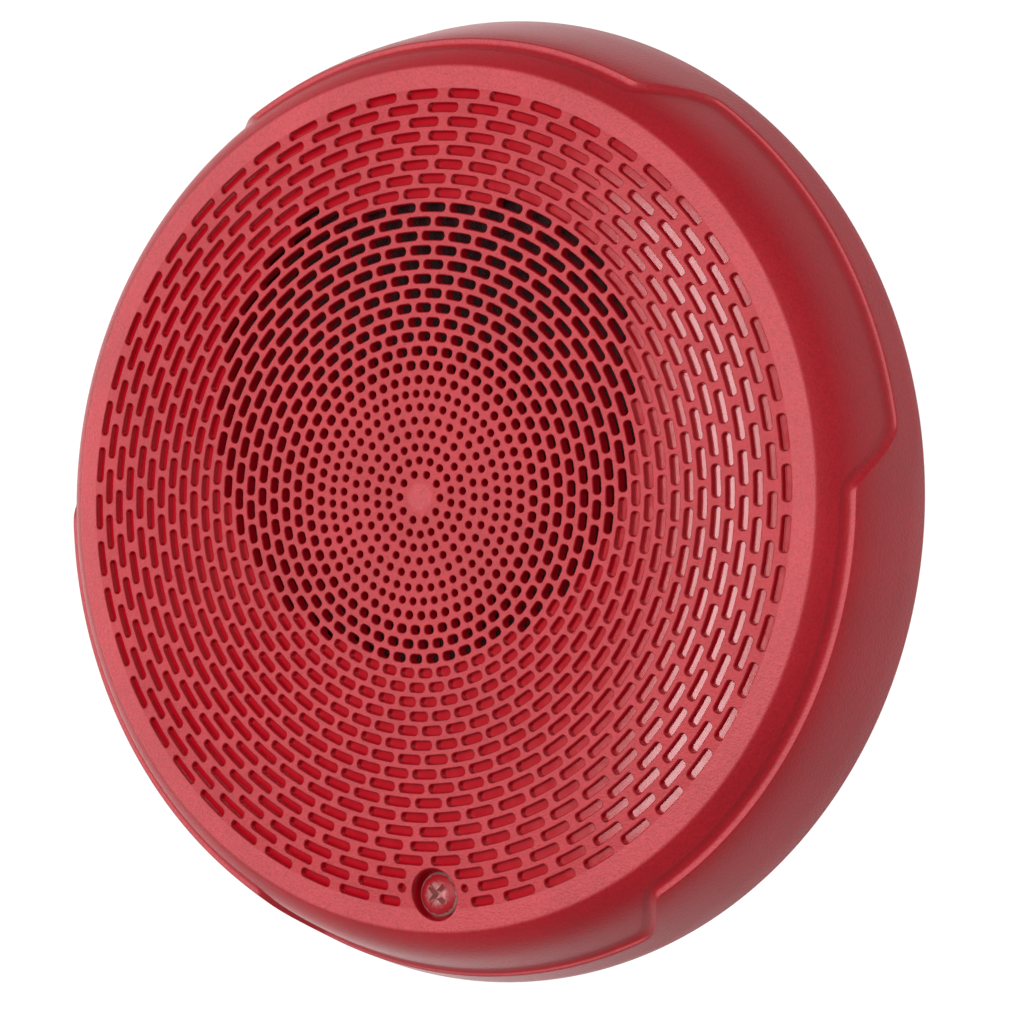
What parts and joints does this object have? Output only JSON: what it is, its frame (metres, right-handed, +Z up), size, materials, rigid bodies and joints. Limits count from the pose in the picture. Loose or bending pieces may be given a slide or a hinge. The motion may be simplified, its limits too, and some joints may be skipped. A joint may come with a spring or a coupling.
{
  "type": "fire alarm sounder",
  "caption": "Round red fire alarm sounder with a slotted domed grille and wavy stepped rim, hung on a mounting plate by hooks and one captive screw.",
  "frame": {"origin": "centre of the mounting plate's flat back face, on the wall plane", "axes": "-Y out of the wall through the face, +Z up to the hooks, +X to the right seen from the front"},
  "size_m": [0.173, 0.0369, 0.173],
  "materials": {
    "red_plastic": "fine-grained moulded red",
    "red_painted_screw": "red paint worn to bright metal at the edges",
    "charcoal_plastic": "satin",
    "black_plastic": "satin",
    "tinned_brass": "bright",
    "zinc": "zinc plated",
    "black_cloth": "woven",
    "foam": "closed-cell foam",
    "plated_steel": "zinc plated",
    "ferrite": "ground ceramic",
    "coated_cloth": "coated",
    "phenolic_cloth": "stiffened weave",
    "pressed_paper": "pressed paper pulp",
    "enamelled_copper": "wound wire",
    "tan_laminate": "phenolic board",
    "green_laminate": "solder mask",
    "laminated_steel": "varnished laminations",
    "yellow_tape": "taped",
    "capacitor_sleeve": "shrink sleeve",
    "blue_plastic": "moulded",
    "white_plastic": "moulded",
    "red_insulation": "insulation",
    "black_insulation": "insulation"
  },
  "bodies": {
    "wall_plate": {"mounting_plate": "charcoal_plastic", "terminal_block": "black_plastic", "contact_1": "tinned_brass", "contact_2": "tinned_brass", "contact_3": "tinned_brass", "contact_4": "tinned_brass"},
    "front_unit": {"front_cover": "red_plastic", "housing_ring": "red_plastic", "dust_screen": "black_cloth", "rear_cover": "charcoal_plastic", "case_screw_1": "zinc", "case_screw_2": "zinc", "case_screw_3": "zinc", "case_screw_4": "zinc", "speaker_gasket": "foam", "speaker_frame": "plated_steel", "surround": "coated_cloth", "spider": "phenolic_cloth", "magnet_top_plate": "plated_steel", "magnet": "ferrite", "magnet_yoke": "plated_steel", "speaker_tag_strip": "tan_laminate", "speaker_screw_1": "zinc", "speaker_screw_2": "zinc", "speaker_screw_3": "zinc", "speaker_screw_4": "zinc", "circuit_board": "green_laminate", "board_screw_1": "zinc", "board_screw_2": "zinc", "transformer_core": "laminated_steel", "transformer_winding": "yellow_tape", "blocking_capacitor": "capacitor_sleeve", "power_selector_body": "blue_plastic", "voltage_selector_body": "charcoal_plastic", "plug_pin_1": "tinned_brass", "plug_pin_2": "tinned_brass", "plug_pin_3": "tinned_brass", "plug_pin_4": "tinned_brass", "speaker_lead_positive": "red_insulation", "speaker_lead_negative": "black_insulation"},
    "cone": {"speaker_cone": "pressed_paper", "dust_cap": "pressed_paper", "voice_coil": "enamelled_copper"},
    "power_knob": {"power_selector_knob": "white_plastic"},
    "voltage_slider": {"voltage_selector_slider": "white_plastic"},
    "screw_carrier": {"screw_retainer": "zinc"},
    "screw": {"captive_screw": "red_painted_screw"},
    "clamp_1": {"wire_clamp_1": "zinc"},
    "clamp_screw_1": {"terminal_screw_1": "zinc"},
    "clamp_2": {"wire_clamp_2": "zinc"},
    "clamp_screw_2": {"terminal_screw_2": "zinc"},
    "clamp_3": {"wire_clamp_3": "zinc"},
    "clamp_screw_3": {"terminal_screw_3": "zinc"},
    "clamp_4": {"wire_clamp_4": "zinc"},
    "clamp_screw_4": {"terminal_screw_4": "zinc"}
  },
  "joints": [
    {"name": "unit_swing", "type": "hinge", "parent": "wall_plate", "child": "front_unit", "pos_m": [0, -0.0015, 0.084], "axis": [-1, 0, 0], "range_deg": [0, 15]},
    {"name": "cone_travel", "type": "slide", "parent": "front_unit", "child": "cone", "axis": [0, -1, 0], "range_m": [-0.001, 0.001], "stiffness_N_per_m": 1800},
    {"name": "power_select", "type": "hinge", "parent": "front_unit", "child": "power_knob", "pos_m": [0.029, -0.004, -0.05], "axis": [0, 1, 0], "range_deg": [-60, 60]},
    {"name": "voltage_select", "type": "slide", "parent": "front_unit", "child": "voltage_slider", "axis": [1, 0, 0], "range_m": [0, 0.003]},
    {"name": "screw_draw", "type": "slide", "parent": "front_unit", "child": "screw_carrier", "axis": [0, -1, 0], "range_m": [0, 0.0076]},
    {"name": "screw_turn", "type": "hinge", "parent": "screw_carrier", "child": "screw", "pos_m": [0, -0.01, -0.0699], "axis": [0, -1, 0], "range_deg": [0, 3460]},
    {"name": "clamp_1_draw", "type": "slide", "parent": "wall_plate", "child": "clamp_1", "axis": [0, -1, 0], "range_m": [0, 0.0018]},
    {"name": "clamp_1_turn", "type": "hinge", "parent": "clamp_1", "child": "clamp_screw_1", "pos_m": [-0.015, 0.001, -0.044], "axis": [0, -1, 0], "range_deg": [0, 840]},
    {"name": "clamp_2_draw", "type": "slide", "parent": "wall_plate", "child": "clamp_2", "axis": [0, -1, 0], "range_m": [0, 0.0018]},
    {"name": "clamp_2_turn", "type": "hinge", "parent": "clamp_2", "child": "clamp_screw_2", "pos_m": [-0.005, 0.001, -0.044], "axis": [0, -1, 0], "range_deg": [0, 840]},
    {"name": "clamp_3_draw", "type": "slide", "parent": "wall_plate", "child": "clamp_3", "axis": [0, -1, 0], "range_m": [0, 0.0018]},
    {"name": "clamp_3_turn", "type": "hinge", "parent": "clamp_3", "child": "clamp_screw_3", "pos_m": [0.005, 0.001, -0.044], "axis": [0, -1, 0], "range_deg": [0, 840]},
    {"name": "clamp_4_draw", "type": "slide", "parent": "wall_plate", "child": "clamp_4", "axis": [0, -1, 0], "range_m": [0, 0.0018]},
    {"name": "clamp_4_turn", "type": "hinge", "parent": "clamp_4", "child": "clamp_screw_4", "pos_m": [0.015, 0.001, -0.044], "axis": [0, -1, 0], "range_deg": [0, 840]}
  ],
  "couplings": [
    {"joint": "screw_turn", "follows": "screw_draw", "rad_per_m": 7915.8},
    {"joint": "clamp_1_turn", "follows": "clamp_1_draw", "rad_per_m": 7915.8},
    {"joint": "clamp_2_turn", "follows": "clamp_2_draw", "rad_per_m": 7915.8},
    {"joint": "clamp_3_turn", "follows": "clamp_3_draw", "rad_per_m": 7915.8},
    {"joint": "clamp_4_turn", "follows": "clamp_4_draw", "rad_per_m": 7915.8}
  ]
}
